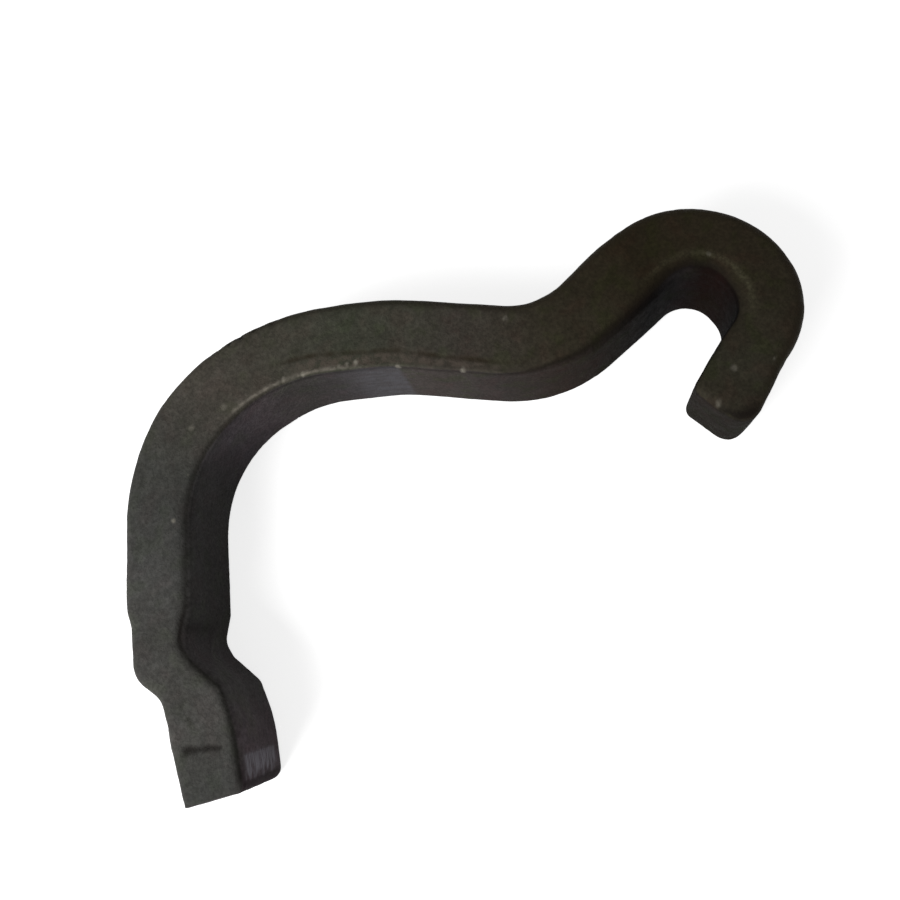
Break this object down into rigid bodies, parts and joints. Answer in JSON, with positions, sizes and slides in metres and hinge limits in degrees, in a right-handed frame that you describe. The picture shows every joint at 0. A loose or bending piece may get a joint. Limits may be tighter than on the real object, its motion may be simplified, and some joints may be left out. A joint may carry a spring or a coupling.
{
  "type": "rail anchor",
  "caption": "Forged steel bar bent into an arch, with a notched toe and a hook, that grips the foot of a flat-bottomed rail and keeps the rail from creeping along the track.",
  "frame": {"origin": "middle of the stop face, the small flat in the notch where the edge of the rail's foot bears", "axes": "+X across the rail's foot, from the stop face to the hook; +Y away from the rail; +Z along the rail, square to the flat side that the bar lies on"},
  "size_m": [0.1816, 0.0925, 0.026],
  "materials": {
    "forged_steel": "dark forging scale, satin"
  },
  "bodies": {
    "root": {"rail_anchor": "forged_steel"}
  },
  "joints": []
}
